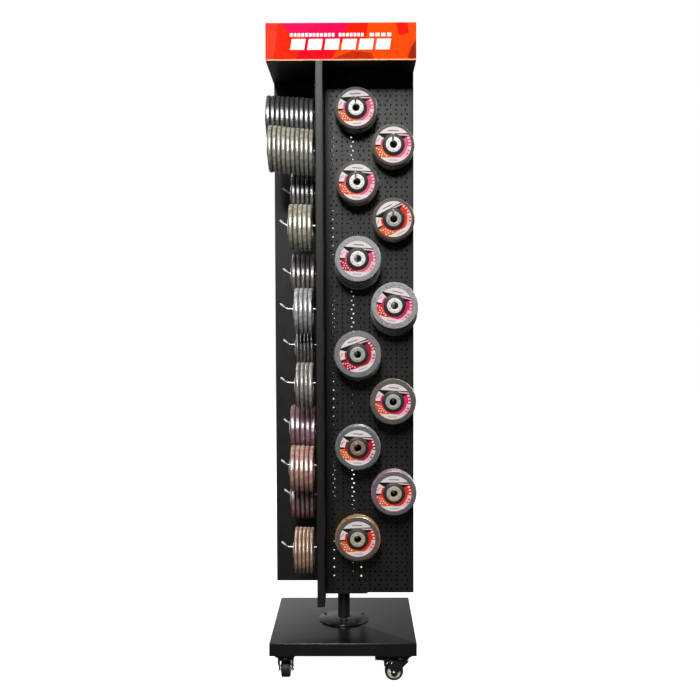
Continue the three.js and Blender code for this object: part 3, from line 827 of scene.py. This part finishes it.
def pole_and_flange():
    """The pole, and the round foot plate with its screws and weld bead."""
    pole = Shape()
    inner, outer, ends = 15, 17.5, (bottom("pole"), top("pole"))
    pole.add(lathe([(inner, ends[0]), (outer, ends[0]), (outer, ends[1]), (inner, ends[1])], 64))
    pole.piece("round_pole", "base", [COAT], "powder_coat", ["pole"])

    flange = Shape()
    low, high, rim = bottom("pole_flange"), BASE_HIGH + 4.8, 71
    spigot = [(14.7, high), (14.7, high + 30), (0, high + 30)]  # inside the pole
    edge = [(rim - 0.6, low), (rim, low + 0.6), (rim, high - 0.9), (rim - 0.3, high - 0.3), (rim - 0.9, high)]
    flange.add(lathe([(0, low), *edge, *spigot], 96, closed=False))
    head = [(0, 0.35), (2.3, 0.35), (2.5, 1.5), (4.6, 1.35), (5.4, 0.4), (5.5, -0.1), (0, -0.1)]
    screw = lathe(head, 20, closed=False)
    for a in (math.radians(30 + 60 * k) for k in range(6)):
        flange.add(screw, 0, WHITE, Matrix.Translation((63.5 * math.cos(a), 63.5 * math.sin(a), high)))
    bead, arc_turns = [], [math.radians(-20 + 22 * j) for j in range(7)]
    for a in (2 * math.pi * k / 72 for k in range(72)):
        swell = 1.9 + 0.25 * math.sin(9 * a) + 0.2 * math.sin(23 * a + 1)
        section = [(17.3 + swell * math.cos(t), high + 0.3 + swell * math.sin(t)) for t in arc_turns]
        bead.append([(r * math.cos(a), r * math.sin(a), z) for r, z in [(17.2, high - 0.2), *section]])
    flange.add(skin(bead))
    flange.piece("pole_foot_plate", "base", [SATIN_COAT], "powder_coat", ["pole_flange"])


pole_and_flange()

# ---------------------------------------------------------------- casters
# Each caster is drawn in its own frame: the kingpin is at the origin, and the wheel trails to +X.
TRAIL, AXLE_HEIGHT = 19.0, 25.0
LEG_NEAR, LEG_FAR = 17.5, 20.0
ACROSS = Matrix.Rotation(math.pi / 2, 4, "X")  # turns a lathe's axis to lie along Y


def side_plate(outline, near, far):
    """A plate across the caster from an outline of (x, z) pairs."""
    return skin([[(x, y, z) for x, z in outline] for y in (near, far)], closed=False, caps=True)


def arc(x, z, radius, start, end, steps=8):
    turns = [math.radians(start + (end - start) * k / steps) for k in range(steps + 1)]
    return [(x + radius * math.cos(a), z + radius * math.sin(a)) for a in turns]


def soften(thing, width):
    edge = thing.modifiers.new("edges", "BEVEL")
    edge.width, edge.segments, edge.limit_method, edge.angle_limit = width * MM, 2, "ANGLE", math.radians(40)


def rivet(x, z, side, radius):
    """A domed rivet head and its place, on the outside of the fork's leg at y = side."""
    dome = [(0, 1.5), (radius * 0.45, 1.35), (radius * 0.8, 0.8), (radius, 0), (0, 0)]
    outwards = Matrix.Rotation(math.copysign(math.pi / 2, -side), 4, "X")
    return lathe(dome, 20, closed=False), Matrix.Translation((x, side, z)) @ outwards


def caster(name, kingpin, trails, brake):
    """A caster whose wheel trails towards an angle in degrees, with a brake pedal or without."""
    at = Matrix.Translation((*kingpin, 0)) @ Matrix.Rotation(math.radians(trails), 4, "Z")
    axle_at = at @ Matrix.Translation((TRAIL, 0, AXLE_HEIGHT)) @ ACROSS

    wheel = Shape()
    tread = [(17.6, -11), (20, -12), (22.4, -12), (24, -11), (24.8, -9), (25, -6.5)]
    tread += [(r, -y) for r, y in reversed(tread)]
    wheel.add(lathe(tread, 72), 0, WHITE, axle_at)
    hub = [(4.3, -15.5), (8.4, -15.5), (9.2, -14.9), (9.6, -12.6), (15.4, -11.6), (16.4, -12.9)]
    hub += [(17.6, -12.9)]
    hub += [(r, -y) for r, y in reversed(hub)]
    wheel.add(lathe(hub, 72), 1, WHITE, axle_at)
    for k in range(6):
        for side in (-1, 1):
            rib = [(9.3, 12.0), (15.9, 11.2), (15.9, 12.8), (9.3, 14.2)]
            points = [(r, y, z * side) for y in (-0.8, 0.8) for r, z in rib]
            rib_at = axle_at @ Matrix.Rotation(math.pi * k / 3, 4, "Z")
            wheel.add(skin([points[:4], points[4:]], closed=False, caps=True), 1, WHITE, rib_at)
    wheel.piece(f"caster_wheel_{name}", f"wheel_{name}", [RUBBER, NYLON], "wheel_rubber", [f"wheel_{name}"])

    fork = Shape()
    head = [(4.3, 55.5), (18.5, 55.5), (21.2, 56.4), (22.4, 58.6), (22.5, 61.8), (21.9, 64.2), (20.2, 65.9),
            (17.6, 66.5), (4.3, 66.5)]
    fork.add(lathe(head, 48), 0, WHITE, at)
    outline = [(-21.4, 58), (-17.5, 52.5), (-9, 44), (-1.5, 36.2), (6.5, 29.5),
               *arc(TRAIL, AXLE_HEIGHT, 8.8, 170, 372, 16), (28.4, 33.5), (31.5, 38.4), (37, 40.6),
               (42.6, 41.6), *arc(41.5, 45.1, 3.6, -60, 0, 4), (45.1, 51), (42.5, 54), (33, 56.6), (24, 58)]
    for near, far in ((-LEG_FAR, -LEG_NEAR), (LEG_NEAR, LEG_FAR)):
        fork.add(side_plate(outline, near, far), 0, WHITE, at)
    bridge = [(4, 55.4), (24, 55.4), (24, 58), (4, 58)]
    fork.add(side_plate(bridge, -LEG_FAR + 0.2, LEG_FAR - 0.2), 0, WHITE, at)
    for side in (-LEG_FAR, LEG_FAR):
        for x, z in ((25.5, 49.5), *(() if brake else ((38, 50.5),))):
            part, turned_to = rivet(x, z, side, 3.1)
            fork.add(part, 1, WHITE, at @ turned_to)
    body = f"fork_{name}"
    soften(fork.piece(f"caster_fork_{name}", body, [CASTER_BLACK, STEEL], "powder_coat", [body]), 0.5)

    bolt = Shape()
    bolt.add(lathe([(0, -20.3), (4, -20.3), (4, 20.3), (0, 20.3)], 32, closed=False), 0, WHITE, axle_at)
    for side in (-1, 1):
        nut = ((20.3, 1), (21.4, 1), (21.9, 0.84))
        rings = [[(x * s, y * s, z * side) for x, y in dot(0, 0, 5.9, 6)] for z, s in nut]
        bolt.add(skin(rings, closed=False, caps=True), 0, WHITE, axle_at)
        end = [(0, 22.8), (2.2, 22.7), (3.1, 22.4), (3.4, 22.0), (3.4, 20.4), (0, 20.4)]
        bolt.add(lathe([(r, z * side) for r, z in end], 24, closed=False), 0, WHITE, axle_at)
    bolt.piece(f"caster_axle_{name}", f"fork_{name}", [STEEL], "bearing_steel", [f"axle_{name}"])

    if brake:
        pedal = Shape()
        lever = [(28, 56), (34, 47.5), (42.5, 39.7), (46, 40.5), (47, 55), (50, 56.8), (62, 57.2), (69, 57.7),
                 *arc(69, 59.1, 1.4, -80, 90, 5), (30, 60.5)]
        pedal.add(side_plate(lever, -14, 14), 0, WHITE, at)
        for k in range(6):
            x = 50 + 3.2 * k
            tread_rib = [(x, 60.3), (x + 1.5, 60.3), (x + 1.2, 61.1), (x + 0.3, 61.1)]
            pedal.add(side_plate(tread_rib, -12, 12), 0, WHITE, at)
        pin = at @ Matrix.Translation((38, 0, 50.5)) @ ACROSS
        pedal.add(lathe([(0, -21), (2.5, -21), (2.5, 21), (0, 21)], 24, closed=False), 1, WHITE, pin)
        for side in (-1, 1):
            dome = [(0, 22.4), (1.6, 22.2), (2.8, 21.6), (3.4, 20.7), (3.4, 20.2), (0, 20.2)]
            pedal.add(lathe([(r, z * side) for r, z in dome], 20, closed=False), 1, WHITE, pin)
        thing = pedal.piece(f"brake_lever_{name}", f"brake_{name}", [CASTER_BLACK, STEEL], "powder_coat",
                            [f"brake_pedal_{name}"])
        soften(thing, 0.4)


for name, trails, brake in (
    ("front_left", 90, True), ("front_right", 180, True), ("rear_left", 0, False), ("rear_right", 180, False)
):
    low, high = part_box(f"caster_plate_{name}")
    caster(name, ((low.x + high.x) / 2 / MM, (low.y + high.y) / 2 / MM), trails, brake)

# ---------------------------------------------------------------- carried-over CAD nodes
BY_SLOT = {
    "powder_coat": COAT,
    "zinc_wire": ZINC,
    "bearing_steel": STEEL,
    "sign_print": SIGN_PRINT,
    "nylon": NYLON,
    "wheel_rubber": RUBBER,
}
for part in frame["record"]["subparts"]:
    mesh = frame["nodes"][part["node"]].data
    mesh.materials.clear()
    mesh.materials.append(BY_SLOT[part["material_slot"]])
